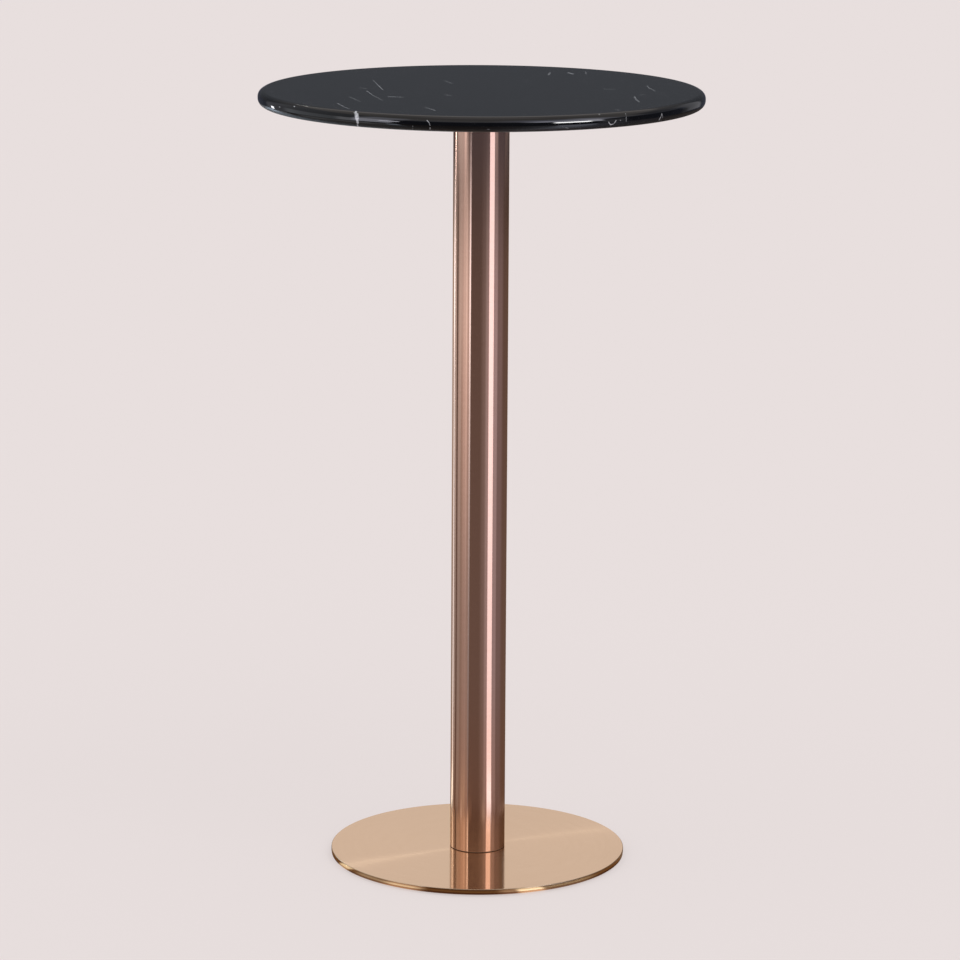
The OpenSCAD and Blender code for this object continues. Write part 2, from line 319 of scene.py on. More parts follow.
def tube_tree():
    """The column's tube, its ends slightly broken."""
    tree, size = start_tree(
        "column tube",
        radius=TUBE_R,
        wall=TUBE_WALL,
        foot=TUBE_FOOT_Z,
        head=TUBE_HEAD_Z,
        end_break=0.3 * MM,
        sides=256,
        material="",
    )
    bore = minus(tree, size.radius, size.wall)
    middle = times(tree, plus(tree, size.foot, size.head), 0.5)
    corners = [
        (bore, middle),
        (bore, size.foot),
        (size.radius, size.foot, size.end_break),
        (size.radius, plus(tree, size.foot, 1.2 * MM)),
        (size.radius, middle),
        (size.radius, minus(tree, size.head, 1.2 * MM)),
        (size.radius, size.head, size.end_break),
        (bore, size.head),
        (bore, middle),
    ]
    return end_tree(tree, turned(tree, corners, 5, size.sides), size.material)


def gasket_tree():
    """The dark ring under the tube, its edges pressed round."""
    tree, size = start_tree(
        "column foot gasket",
        radius=GASKET_R,
        bore=GASKET_BORE_R,
        lower_face=COVER_TOP_Z,
        upper_face=TUBE_FOOT_Z,
        rounding=0.3 * MM,
        sides=192,
        material="",
    )
    middle = times(tree, plus(tree, size.radius, size.bore), 0.5)
    corners = [
        (middle, size.upper_face),
        (size.bore, size.upper_face),
        (size.bore, size.lower_face),
        (size.radius, size.lower_face, size.rounding),
        (size.radius, size.upper_face, size.rounding),
        (middle, size.upper_face),
    ]
    return end_tree(tree, turned(tree, corners, 6, size.sides), size.material)


def cover_tree():
    """The base's sheet skin with its rim turned down round the plate."""
    tree, size = start_tree(
        "base cover",
        radius=COVER_R,
        sheet=COVER_SHEET,
        upper_face=COVER_TOP_Z,
        lip=COVER_LIP_Z,
        edge_rounding=0.8 * MM,
        lip_rounding=0.4 * MM,
        middle_hole=30.1 * MM,
        sides=360,
        material="",
    )
    under = minus(tree, size.upper_face, size.sheet)
    bore = minus(tree, size.radius, size.sheet)
    middle = times(tree, size.radius, 0.55)
    flat = minus(tree, minus(tree, size.radius, size.edge_rounding), 0.5 * MM)
    corners = [
        (middle, under),
        (size.middle_hole, under),
        (size.middle_hole, size.upper_face, 0.15 * MM),
        (plus(tree, size.middle_hole, 0.5 * MM), size.upper_face),
        (flat, size.upper_face),
        (size.radius, size.upper_face, size.edge_rounding),
        (size.radius, size.lip, size.lip_rounding),
        (bore, size.lip, size.lip_rounding),
        (bore, under),
        (middle, under),
    ]
    return end_tree(tree, turned(tree, corners, 8, size.sides), size.material)


def washer_tree():
    """The washers under the mounting plate, stamped, with rounded outer edges."""
    tree, size = start_tree(
        "washers",
        radius=9 * MM,
        bore=3.15 * MM,
        thickness=WASHER_T,
        upper_face=MOUNT_Z,
        rounding=0.35 * MM,
        count=ANCHOR_COUNT,
        circle=ANCHOR_RING_R,
        material="",
    )
    lower = minus(tree, size.upper_face, size.thickness)
    middle = times(tree, size.radius, 0.7)
    corners = [
        (middle, size.upper_face),
        (size.bore, size.upper_face),
        (size.bore, lower, 0.2 * MM),
        (size.radius, lower, size.rounding),
        (size.radius, size.upper_face, 0.15 * MM),
        (middle, size.upper_face),
    ]
    washer = turned(tree, corners, 4, 64)
    return end_tree(tree, on_circle(tree, washer, size.count, size.circle), size.material)


def thread_tree():
    """A threaded rod along Z with a flat cap at each end."""
    tree, size = start_tree(
        "threaded rod", radius=4 * MM, depth=THREAD_DEPTH, pitch=THREAD_PITCH, low=0.0, high=10 * MM, sides=40
    )
    length = minus(tree, size.high, size.low)
    rows = plus(tree, calc(tree, "CEIL", times(tree, calc(tree, "DIVIDE", length, size.pitch), 8.0)), 3)
    last = minus(tree, rows, 1)
    grid, turn, row = flat_grid(tree, size.sides, rows)
    along = calc(tree, "DIVIDE", minus(tree, row, 1.0), minus(tree, last, 2.0), clamp=True)
    height = plus(tree, size.low, times(tree, along, length))
    wave = calc(tree, "FRACT", minus(tree, calc(tree, "DIVIDE", height, size.pitch), turn))
    groove = calc(tree, "ABSOLUTE", minus(tree, times(tree, wave, 2.0), 1.0))
    fade = times(tree, calc(tree, "MINIMUM", along, minus(tree, 1.0, along)), 30.0, clamp=True)
    depth = times(tree, size.depth, calc(tree, "MAXIMUM", groove, minus(tree, 1.0, fade)))
    radius = minus(tree, size.radius, depth)
    inside = times(
        tree, calc(tree, "GREATER_THAN", row, 0.5), calc(tree, "LESS_THAN", row, minus(tree, last, 0.5))
    )
    return rolled(tree, grid, turn, times(tree, radius, inside), height)


THREAD = thread_tree()


def rod(tree, size, depth, low, high, **more):
    """The threaded part of a screw or stud, from one height to another."""
    sizes = {"Radius": size.thread_radius, "Depth": depth, "Pitch": size.pitch, "Low": low, "High": high}
    return group_node(tree, THREAD, {**sizes, **more})


def socketed(tree, head, size, level):
    """A screw's head with its six-sided socket, as deep on both sides of a level."""
    key_r = calc(tree, "DIVIDE", size.key_width, 2 * math.cos(math.radians(30)))
    return cut(tree, head, bar(tree, key_r, times(tree, size.key_depth, 2.0), level, 6))


def screw_ring(tree, size, screw, level):
    """Ends a tree in copies of a screw on their circle, at one level."""
    ring = on_circle(tree, screw, size.count, size.circle)
    return end_tree(tree, moved(tree, ring, Translation=point(tree, 0.0, 0.0, level)), size.material)


def countersunk_tree():
    """Countersunk socket screws on a circle, heads up, with their heads' faces at one level."""
    tree, size = start_tree(
        "countersunk screws",
        head_radius=7.9 * MM,
        thread_radius=THREAD_R,
        pitch=THREAD_PITCH,
        length=16 * MM,
        key_width=5 * MM,
        key_depth=2.4 * MM,
        count=4,
        circle=COLUMN_SCREW_RING_R,
        face=0.0,
        tilt=0.0,
        material="",
    )
    cone = minus(tree, size.head_radius, size.thread_radius)
    lower = times(tree, cone, -1.0)
    corners = [
        (0.0, lower),
        (size.thread_radius, lower),
        (size.head_radius, -0.25 * MM),
        (size.head_radius, 0.0, 0.2 * MM),
        (times(tree, size.head_radius, 0.8), 0.0),
        (0.0, 0.0),
    ]
    head = socketed(tree, turned(tree, corners, 4, 64), size, 0.0)
    tip = times(tree, size.length, -1.0)
    screw = joined(tree, head, rod(tree, size, THREAD_DEPTH, tip, plus(tree, lower, OVERLAP)))
    return screw_ring(tree, size, moved(tree, screw, Rotation=point(tree, size.tilt)), size.face)


def button_screw_tree():
    """Round-headed socket screws on a circle, heads down, their seats at one level."""
    tree, size = start_tree(
        "round-headed screws",
        head_radius=5.25 * MM,
        head_height=3.3 * MM,
        head_rounding=2 * MM,
        thread_radius=2.95 * MM,
        pitch=1.0 * MM,
        length=18.1 * MM,
        key_width=4 * MM,
        key_depth=2.4 * MM,
        count=ANCHOR_COUNT,
        circle=ANCHOR_RING_R,
        seat=MOUNT_Z - WASHER_T,
        material="",
    )
    crown = times(tree, size.head_height, -1.0)
    corners = [
        (0.0, crown),
        (times(tree, size.head_radius, 0.5), crown),
        (size.head_radius, crown, size.head_rounding),
        (size.head_radius, 0.0, 0.2 * MM),
        (times(tree, size.head_radius, 0.6), 0.0),
        (0.0, 0.0),
    ]
    head = socketed(tree, turned(tree, corners, 8, 64), size, crown)
    screw = joined(tree, head, rod(tree, size, 0.5 * MM, -OVERLAP, size.length, Sides=32))
    return screw_ring(tree, size, screw, size.seat)


def at_glide(tree, size, shape):
    """Ends a tree in one glide's piece, set out on the glides' circle and turned to its quarter."""
    shape = moved(tree, shape, Translation=point(tree, size.circle))
    return end_tree(tree, moved(tree, shape, Rotation=point(tree, 0.0, 0.0, size.turn)), size.material)


def pad_tree():
    """One glide's plastic pad with grip notches, a seat for the stud's flange and a shallow recess below."""
    tree, size = start_tree(
        "glide pad",
        radius=PAD_R,
        thickness=PAD_T,
        lower_rounding=0.6 * MM,
        seat_radius=7 * MM,
        seat_depth=1 * MM,
        notches=16,
        notch_radius=1.4 * MM,
        circle=GLIDE_RING_R,
        turn=0.0,
        material="",
    )
    seat_z = minus(tree, size.thickness, size.seat_depth)
    foot_r = times(tree, size.radius, 0.78)
    corners = [
        (0.0, 0.12 * MM),
        (times(tree, size.radius, 0.3), 0.12 * MM),
        (times(tree, size.radius, 0.34), 0.0, 0.05 * MM),
        (foot_r, 0.0),
        (size.radius, 0.0, size.lower_rounding),
        (size.radius, size.thickness, 0.2 * MM),
        (size.seat_radius, size.thickness),
        (size.seat_radius, seat_z),
        (0.0, seat_z),
    ]
    pad = turned(tree, corners, 5, 128)
    notch = bar(tree, size.notch_radius, times(tree, size.thickness, 4.0), 0.0, 20)
    reach = plus(tree, size.radius, times(tree, size.notch_radius, 0.5))
    return at_glide(tree, size, cut(tree, pad, on_circle(tree, notch, size.notches, reach)))


def stud_tree():
    """One glide's threaded stud with the flange that the pad holds."""
    tree, size = start_tree(
        "glide stud",
        thread_radius=THREAD_R,
        pitch=THREAD_PITCH,
        flange_radius=7 * MM,
        flange=1 * MM,
        foot=1 * MM,
        end=8.3 * MM,
        circle=GLIDE_RING_R,
        turn=0.0,
        material="",
    )
    top = plus(tree, size.foot, size.flange)
    corners = [
        (0.0, size.foot),
        (size.flange_radius, size.foot),
        (size.flange_radius, top, 0.15 * MM),
        (size.thread_radius, top),
        (0.0, top),
    ]
    thread = rod(tree, size, THREAD_DEPTH, minus(tree, top, OVERLAP), size.end)
    return at_glide(tree, size, joined(tree, turned(tree, corners, 4, 64), thread))


# Materials

def new_material(name, **constants):
    """A Principled material with its constants set on the shader's own sockets."""
    material = bpy.data.materials.new(name)
    material.use_nodes = True
    tree = material.node_tree
    shader = tree.nodes["Principled BSDF"]
    for key, value in constants.items():
        shader.inputs[key.replace("_", " ")].default_value = value
    return material, tree, shader


def feed(shader, name, value):
    """Links a value to one of the shader's inputs."""
    shader.id_data.links.new(value, shader.inputs[name])


def object_place(tree):
    """Where a point lies on the object, in metres."""
    return put(tree, "ShaderNodeTexCoord").outputs["Object"]


def noise(tree, place, scale, detail=2.0, roughness=0.5, output=0):
    """Noise at a place, as a number or as the output that is named."""
    inputs = {"Vector": place, "Scale": scale, "Detail": detail, "Roughness": roughness}
    return put(tree, "ShaderNodeTexNoise", inputs).outputs[output]


def between(tree, value, low, high, to_low=0.0, to_high=1.0, smooth=False):
    """A value mapped from one range to another and held inside it."""
    node = put(
        tree,
        "ShaderNodeMapRange",
        {"Value": value, "From Min": low, "From Max": high, "To Min": to_low, "To Max": to_high},
        interpolation_type="SMOOTHSTEP" if smooth else "LINEAR",
    )
    return node.outputs[0]


def mixed_colour(tree, factor, first, second):
    """A colour between two others."""
    return put(tree, "ShaderNodeMix", {0: factor, 6: first, 7: second}, data_type="RGBA").outputs[2]


def surface(tree, shader, colour, rough, height, strength, distance):
    """Links a shader's colour and roughness, and gives it fine relief."""
    relief = put(tree, "ShaderNodeBump", {"Strength": strength, "Distance": distance, "Height": height})
    feed(shader, "Base Color", colour)
    feed(shader, "Roughness", rough)
    feed(shader, "Normal", relief.outputs[0])


def turning_grain(tree, fine=2400.0, along=3.0):
    """Noise drawn out round the Z axis, as a turning or polishing belt leaves it on tubes and discs."""
    place = object_place(tree)
    spot = split(tree, place)
    level = point(tree, spot[0], spot[1])
    radius = vector_calc(tree, "LENGTH", level)
    facing = split(tree, vector_calc(tree, "NORMALIZE", level))
    across = times(tree, plus(tree, radius, spot[2]), fine)
    drawn = point(tree, times(tree, facing[0], along), times(tree, facing[1], along), across)
    return place, drawn


def brushed_copper(name, light, dark, shine, grain_depth):
    """Brushed copper-coloured metal: fine grain round the axis, with faint handling marks."""
    material, tree, shader = new_material(
        name, Metallic=1.0, Anisotropic=1.0, Anisotropic_Rotation=0.25, Specular_Tint=(0.95, 0.87, 0.74, 1.0)
    )
    place, drawn = turning_grain(tree)
    fine = noise(tree, drawn, 1.0, 2.0, 0.6)
    broad = noise(tree, vector_calc(tree, "MULTIPLY", drawn, (1.0, 1.0, 0.08)), 1.0, 2.0)
    smudge = noise(tree, place, 7.0, 3.0, 0.55)
    tone = plus(tree, times(tree, fine, 0.5), times(tree, broad, 0.5))
    colour = mixed_colour(tree, between(tree, tone, 0.3, 0.7), dark, light)
    rough = plus(
        tree,
        between(tree, fine, 0.3, 0.7, shine - 0.012, shine + 0.012),
        between(tree, smudge, 0.35, 0.75, -0.008, 0.014),
    )
    feed(shader, "Tangent", put(tree, "ShaderNodeTangent", direction_type="RADIAL", axis="Z").outputs[0])
    surface(tree, shader, colour, rough, fine, grain_depth, 0.004 * MM)
    return material


def vein_group():
    """How much of one vein shows at a place: a soft stroke from one point of the stone to another."""
    group = bpy.data.node_groups.new("vein stroke", "ShaderNodeTree")
    for label, kind in (
        ("Place", "Vector"),
        ("From", "Vector"),
        ("To", "Vector"),
        ("Half width", "Float"),
        ("Strength", "Float"),
    ):
        group.interface.new_socket(label, in_out="INPUT", socket_type="NodeSocket" + kind)
    group.interface.new_socket("Vein", in_out="OUTPUT", socket_type="NodeSocketFloat")
    entry = group.nodes.new("NodeGroupInput").outputs
    reach = vector_calc(group, "SUBTRACT", entry["Place"], entry["From"])
    run = vector_calc(group, "SUBTRACT", entry["To"], entry["From"])
    covered, whole = (vector_calc(group, "DOT_PRODUCT", part, run) for part in (reach, run))
    share = calc(group, "DIVIDE", covered, whole, clamp=True)
    scaled = put(group, "ShaderNodeVectorMath", {0: run, "Scale": share}, operation="SCALE").outputs[0]
    away = vector_calc(group, "LENGTH", vector_calc(group, "SUBTRACT", reach, scaled))
    inside = between(group, calc(group, "DIVIDE", away, entry["Half width"]), 1.0, 0.35, smooth=True)
    put(group, "NodeGroupOutput", {0: times(group, inside, entry["Strength"])})
    return group


# Veins and marks: from, to (millimetres, on the face where no height is given), half width, strength.
# The first set lies in the face, the second on the edge.
FACE_VEINS = [
    ((-188, -159), (-176, -204), 0.9, 0.6),
    ((-176, -204), (-162, -250, 1063), 1.0, 0.55),
    ((-148, 99), (-141, 49), 0.9, 0.4),
    ((-141, 49), (-132, -12), 1.0, 0.55),
    ((-162, 8), (-155, 4), 3.0, 0.28),
    ((-153, -26), (-141, -86), 1.0, 0.55),
    ((-141, -86), (-130, -127), 0.9, 0.45),
    ((-122, -87), (-106, -92), 3.8, 0.42),
    ((-175, -92), (-168, -110), 1.2, 0.42),
    ((-168, -110), (-159, -141), 1.0, 0.34),
    ((-74, -195), (-67, -211), 1.2, 0.35),
    ((-67, -211), (-59, -234), 1.2, 0.55),
    ((-49, -60), (-40, -73), 2.2, 0.34),
    ((-51, 101), (-40, 66), 1.4, 0.3),
    ((92, 174), (95, 202), 1.6, 0.5),
    ((120, 204), (126, 186), 3.0, 0.6),
    ((144, 218), (144, 186), 1.0, 0.35),
    ((165, 15), (177, 7), 3.0, 0.2),
    ((224, 53), (225, 28), 1.1, 0.5),
    ((225, 28), (232, -7), 1.1, 0.5),
    ((202, -69), (203, -102), 1.8, 0.4),
    ((203, -102), (206, -127), 1.6, 0.42),
    ((211, -51), (215, -47), 3.0, 0.25),
    ((173, -210), (177, -218), 3.0, 0.14),
    ((151, -255), (156, -259), 2.2, 0.3),
]
FACE_HEIGHT = 1065
EDGE_VEINS = [
    ((-161, -243, 1065), (-160.5, -252.1, 1061.5), 1.8, 0.9),
    ((-160.5, -251.5, 1061.9), (-159.5, -254.0, 1057.2), 3.6, 0.85),
    ((-159.5, -254.0, 1057.2), (-158.6, -254.5, 1052.1), 2.6, 0.75),
    ((-158.6, -254.5, 1052.1), (-158.2, -248.3, 1045.6), 1.8, 0.6),
    ((-264.5, -141.0, 1057.2), (-262.9, -144.4, 1057.6), 0.9, 0.55),
    ((-244.2, -170.2, 1061.8), (-242.8, -172.6, 1061.6), 0.8, 0.6),
    ((-274.6, -118.4, 1050.6), (-273.6, -120.2, 1048.9), 1.2, 0.35),
    ((-69.6, -291.2, 1059.8), (-66.4, -292.5, 1056.6), 0.7, 0.5),
    ((-66.4, -292.5, 1056.6), (-65.4, -292.7, 1053.5), 0.8, 0.35),
    ((-65.7, -291.9, 1050.6), (-65.7, -291.0, 1048.4), 0.9, 0.45),
    ((-87.6, -286.5, 1051.8), (-87.5, -284.0, 1047.4), 0.7, 0.25),
    ((162.7, -252.1, 1053.9), (165.3, -249.3, 1050.2), 0.9, 0.6),
    ((165.3, -249.3, 1050.2), (169.1, -247.1, 1050.8), 1.0, 0.75),
    ((169.1, -247.1, 1050.8), (172.1, -245.7, 1055.2), 0.9, 0.7),
    ((178.0, -241.4, 1055.2), (178.8, -240.8, 1054.6), 0.8, 0.3),
    ((185.0, -232.9, 1062.6), (185.5, -235.7, 1057.0), 0.8, 0.3),
    ((185.5, -235.7, 1057.0), (185.8, -235.4, 1052.6), 0.7, 0.3),
    ((233.6, -188.1, 1057.0), (231.2, -190.4, 1051.0), 0.9, 0.6),
    ((233.6, -188.1, 1057.0), (234.9, -186.1, 1051.6), 0.8, 0.35),
    ((231.2, -190.4, 1051.0), (230.2, -190.4, 1049.4), 1.2, 0.5),
    ((103.6, -280.8, 1050.8), (110.4, -277.2, 1048.8), 0.6, 0.3),
    ((7.0, -298.9, 1049.8), (9.6, -298.6, 1049.4), 0.7, 0.2),
]


def black_marble():
    """Black marble: near-black ground, soft clouds, sparse white veins and fine flecks, honed underneath."""
    material, tree, shader = new_material("polished black marble", IOR=1.52)
    place = object_place(tree)
    sway = noise(tree, place, 75.0, 3.0, 0.6, output="Color")
    sway = vector_calc(tree, "SUBTRACT", sway, (0.5, 0.5, 0.5))
    sway = vector_calc(tree, "MULTIPLY", sway, (3.2 * MM, 5.0 * MM, 1.2 * MM))
    near = vector_calc(tree, "ADD", place, sway)
    stroke = vein_group()
    drawn = None
    for start, end, half_width, strength in FACE_VEINS + EDGE_VEINS:
        vein = group_node(
            tree,
            stroke,
            {
                "Place": near,
                "From": [v * MM for v in (*start, FACE_HEIGHT)[:3]],
                "To": [v * MM for v in (*end, FACE_HEIGHT)[:3]],
                "Half width": half_width * MM,
                "Strength": strength,
            },
        )
        drawn = vein if drawn is None else calc(tree, "MAXIMUM", drawn, vein)
    breaks = noise(tree, place, 420.0, 2.0)
    drawn = times(tree, drawn, between(tree, breaks, 0.3, 0.55, 0.45, 1.0))
    drift = vector_calc(
        tree,
        "MULTIPLY",
        vector_calc(tree, "SUBTRACT", noise(tree, place, 9.0, 4.0, 0.6, output="Color"), (0.5, 0.5, 0.5)),
        (0.07, 0.07, 0.07),
    )
    sheet = noise(tree, vector_calc(tree, "ADD", place, drift), 6.5, 1.0)
    hair = between(tree, calc(tree, "ABSOLUTE", minus(tree, sheet, 0.5)), 0.0016, 0.0004, smooth=True)
    where = between(tree, noise(tree, place, 13.0, 2.0), 0.56, 0.66)
    level = split(tree, place)[2]
    face_share = between(tree, level, 1.0645, 1.0600, 0.14, 0.6)
    hair = times(tree, times(tree, hair, where), face_share)
    flecks = between(tree, noise(tree, place, 900.0, 2.0), 0.71, 0.78, 0.0, 0.10)
    white = calc(tree, "MAXIMUM", calc(tree, "MAXIMUM", drawn, hair), flecks)
    cloud = noise(tree, place, 18.0, 4.0, 0.6)
    ground = mixed_colour(
        tree, between(tree, cloud, 0.35, 0.7), (0.0005, 0.0005, 0.0008, 1.0), (0.0021, 0.0022, 0.0026, 1.0)
    )
    vein_colour = mixed_colour(
        tree, noise(tree, place, 240.0, 2.0), (0.50, 0.52, 0.57, 1.0), (0.78, 0.80, 0.84, 1.0)
    )
    colour = mixed_colour(tree, white, ground, vein_colour)
    polish = between(tree, noise(tree, place, 22.0, 3.0), 0.3, 0.7, 0.035, 0.06)
    honed = between(tree, level, STONE_Z + 8 * MM, STONE_Z + 4 * MM, 0.0, 0.34)
    rough = plus(tree, plus(tree, polish, honed), times(tree, white, 0.08))
    surface(tree, shader, colour, rough, noise(tree, place, 35.0, 2.0), 0.05, 0.02 * MM)
    return material


def powder_coat():
    """Matt black powder coat with its fine orange-peel surface."""
    material, tree, shader = new_material("black powder coat", IOR=1.5)
    place = object_place(tree)
    peel = noise(tree, place, 1400.0, 2.0, 0.6)
    wear = noise(tree, place, 30.0, 3.0)
    colour = mixed_colour(tree, wear, (0.012, 0.012, 0.013, 1.0), (0.022, 0.022, 0.023, 1.0))
    surface(tree, shader, colour, between(tree, wear, 0.3, 0.7, 0.48, 0.6), peel, 0.35, 0.06 * MM)
    return material


def turned_metal(name, light, dark, shine, fine=1500.0, depth=0.12, metallic=1.0):
    """Metal with the rings that a lathe leaves round the Z axis and a slightly uneven tone."""
    material, tree, shader = new_material(name, Metallic=metallic)
    place, drawn = turning_grain(tree, fine, 2.0)
    rings = noise(tree, drawn, 1.0, 2.0)
    tone = noise(tree, place, 160.0, 3.0, 0.6)
    mix = plus(tree, times(tree, rings, 0.5), times(tree, tone, 0.5))
    colour = mixed_colour(tree, between(tree, mix, 0.35, 0.65), dark, light)
    rough = between(tree, tone, 0.3, 0.7, shine - 0.05, shine + 0.07)
    surface(tree, shader, colour, rough, rings, depth, 0.03 * MM)
    return material


def plated_screws(name, light, dark, shine, metallic=1.0):
    """Screw finish: thin plating or blackening with small stains."""
    material, tree, shader = new_material(name, Metallic=metallic)
    place = object_place(tree)
    stain = noise(tree, place, 260.0, 4.0, 0.65)
    grit = noise(tree, place, 2600.0, 2.0)
    colour = mixed_colour(tree, between(tree, stain, 0.35, 0.65), dark, light)
    rough = between(tree, stain, 0.3, 0.7, shine - 0.06, shine + 0.08)
    surface(tree, shader, colour, rough, grit, 0.12, 0.02 * MM)
    return material


def knurled_brass():
    """Turned brass with a knurl round the sleeves."""
    material, tree, shader = new_material("sleeve brass", Metallic=1.0)
    place = object_place(tree)
    tone = noise(tree, place, 220.0, 3.0)
    spot = split(tree, place)
    lines = []
    for side in (-1.0, 1.0):
        slope = plus(tree, plus(tree, spot[0], spot[1]), times(tree, spot[2], side))
        lines.append(calc(tree, "SINE", times(tree, slope, 7000.0)))
    knurl = times(tree, lines[0], lines[1])
    colour = mixed_colour(tree, tone, (0.55, 0.38, 0.13, 1.0), (0.68, 0.49, 0.19, 1.0))
    surface(tree, shader, colour, between(tree, tone, 0.3, 0.7, 0.26, 0.38), knurl, 0.3, 0.08 * MM)
    return material


def soft_black(name, light, dark, rough, grain, depth):
    """Rubber or moulded plastic: fine moulded grain and a slightly uneven sheen."""
    material, tree, shader = new_material(name, IOR=1.5)
    place = object_place(tree)
    moulded = noise(tree, place, grain, 2.0, 0.55)
    dust = noise(tree, place, 60.0, 3.0)
    colour = mixed_colour(tree, between(tree, dust, 0.35, 0.7), dark, light)
    sheen = between(tree, dust, 0.3, 0.7, rough - 0.05, rough + 0.05)
    surface(tree, shader, colour, sheen, moulded, depth, 0.05 * MM)
    return material


MARBLE = black_marble()
COPPER = brushed_copper(
    "brushed rose copper", (0.85, 0.535, 0.415, 1.0), (0.81, 0.505, 0.385, 1.0), 0.12, 0.06
)
DISC_COPPER = brushed_copper(
    "brushed copper disc", (0.82, 0.63, 0.45, 1.0), (0.79, 0.60, 0.42, 1.0), 0.12, 0.04
)
# Painted shade: a darker copy of the copper for the base plate, so that its rim looks dark against the pale
# floor it reflects.
SHADE_DARKENED_COPPER = brushed_copper("copper darkened as painted shade", (0.55, 0.33, 0.20, 1.0), (0.44, 0.25, 0.15, 1.0), 0.22, 0.2)
BLACK_STEEL = powder_coat()
RAW_STEEL = turned_metal("turned steel", (0.46, 0.45, 0.44, 1.0), (0.33, 0.32, 0.31, 1.0), 0.35)
ZINC = plated_screws("bright zinc", (0.72, 0.73, 0.76, 1.0), (0.58, 0.58, 0.60, 1.0), 0.28)
OXIDE = plated_screws("black oxide", (0.055, 0.055, 0.06, 1.0), (0.028, 0.028, 0.03, 1.0), 0.42, 0.6)
BRASS = knurled_brass()
RUBBER = soft_black("black rubber", (0.030, 0.030, 0.031, 1.0), (0.014, 0.014, 0.014, 1.0), 0.72, 2200.0, 0.3)
SEAL = soft_black(
    "dark seal rubber", (0.120, 0.062, 0.036, 1.0), (0.082, 0.042, 0.024, 1.0), 0.60, 2200.0, 0.3
)
PLASTIC = soft_black(
    "moulded black plastic", (0.035, 0.035, 0.036, 1.0), (0.022, 0.022, 0.023, 1.0), 0.5, 1500.0, 0.2
)


# Building the pieces

def build(name, tree, material, body, nodes, slot, **sizes):
    """Runs a tree once, keeps its result as a plain mesh and sets it in the frame."""
    holder = placed(name, bpy.data.meshes.new(name))
    modifier = holder.modifiers.new("Build", "NODES")
    modifier.node_group = tree
    sizes["material"] = material
    for item in tree.interface.items_tree:
        key = item.name.lower().replace(" ", "_")
        if item.in_out == "INPUT" and key in sizes:
            modifier[item.identifier] = sizes[key]
    ready = bpy.context.evaluated_depsgraph_get()
    mesh = bpy.data.meshes.new_from_object(holder.evaluated_get(ready), depsgraph=ready)
    holder.modifiers.clear()
    work = bmesh.new()
    work.from_mesh(mesh)
    bmesh.ops.remove_doubles(work, verts=work.verts, dist=1e-6)
    bmesh.ops.recalc_face_normals(work, faces=work.faces)
    for face in work.faces:
        face.smooth = True
    work.to_mesh(mesh)
    work.free()
    mesh.set_sharp_from_angle(angle=math.radians(32))
    mesh.name = name
    holder.data = mesh
    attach(holder, body)
    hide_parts(*nodes)


def coat(node, material):
    """Gives a CAD node that stays its material."""
    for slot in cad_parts[node].material_slots:
        slot.material = material


build("stone_slab", stone_tree(), MARBLE, "table", ["marble_top"], "black_marble")
build("brushed_tube", tube_tree(), COPPER, "table", ["column_tube"], "copper_steel")
build("foot_gasket", gasket_tree(), SEAL, "table", ["column_foot_gasket"], "black_rubber")
build("base_skin", cover_tree(), DISC_COPPER, "table", ["base_cover"], "copper_steel")
build("plate_washers", washer_tree(), ZINC, "table", ["mounting_washers"], "zinc_steel")
build("stone_screws", button_screw_tree(), ZINC, "table", ["mounting_screws"], "zinc_steel")
countersunk = countersunk_tree()
head_set = {"length": 15.75 * MM, "face": MOUNT_TOP_Z - 0.25 * MM}
foot_set = {"length": 16.15 * MM, "face": PLATE_Z + 0.25 * MM, "tilt": math.pi}
build("column_head_screws", countersunk, OXIDE, "table", ["head_screws"], "black_oxide_steel", **head_set)
build("column_foot_screws", countersunk, OXIDE, "table", ["base_screws"], "black_oxide_steel", **foot_set)
pad_shape, stud_shape = pad_tree(), stud_tree()
for number in (1, 2, 3, 4):
    quarter = math.radians(45 + 90 * (number - 1))
    body = f"glide_{number}"
    build(f"pad_{number}", pad_shape, PLASTIC, body, [f"glide_pad_{number}"], "pad_plastic", turn=quarter)
    build(f"stud_{number}", stud_shape, ZINC, body, [f"glide_stud_{number}"], "zinc_steel", turn=quarter)

coat("anchor_sleeves", BRASS)
coat("bedding_ring", RUBBER)
coat("mounting_plate", BLACK_STEEL)
coat("column_head_plug", RAW_STEEL)
coat("column_foot_plug", RAW_STEEL)
# The base plate takes the darker copper, painted shade on the rim.
coat("base_plate", SHADE_DARKENED_COPPER)


# Studio

PAPER = (0.7935, 0.7255, 0.7182)


def seen_directly(tree):
    """1 for camera, glossy and transmission rays, otherwise 0."""
    rays = put(tree, "ShaderNodeLightPath")
    seen = calc(tree, "MAXIMUM", rays.outputs["Is Camera Ray"], rays.outputs["Is Glossy Ray"])
    return calc(tree, "MAXIMUM", seen, rays.outputs["Is Transmission Ray"])


def set_world():
    """Plain pale surroundings, with soft even light on the object."""
    world = bpy.data.worlds.new("studio")
    scene.world = world
    world.use_nodes = True
    tree = world.node_tree
    background = tree.nodes["Background"]
    colour = mixed_colour(tree, seen_directly(tree), (0.80, 0.80, 0.80, 1.0), (*PAPER, 1.0))
    tree.links.new(colour, background.inputs["Color"])
    world.cycles.sampling_method = "NONE"


def bare_material(name, mesh):
    """A mesh's material and its tree, without a shader yet."""
    material = bpy.data.materials.new(name)
    material.use_nodes = True
    tree = material.node_tree
    tree.nodes.remove(tree.nodes["Principled BSDF"])
    mesh.materials.append(material)
    return material, tree


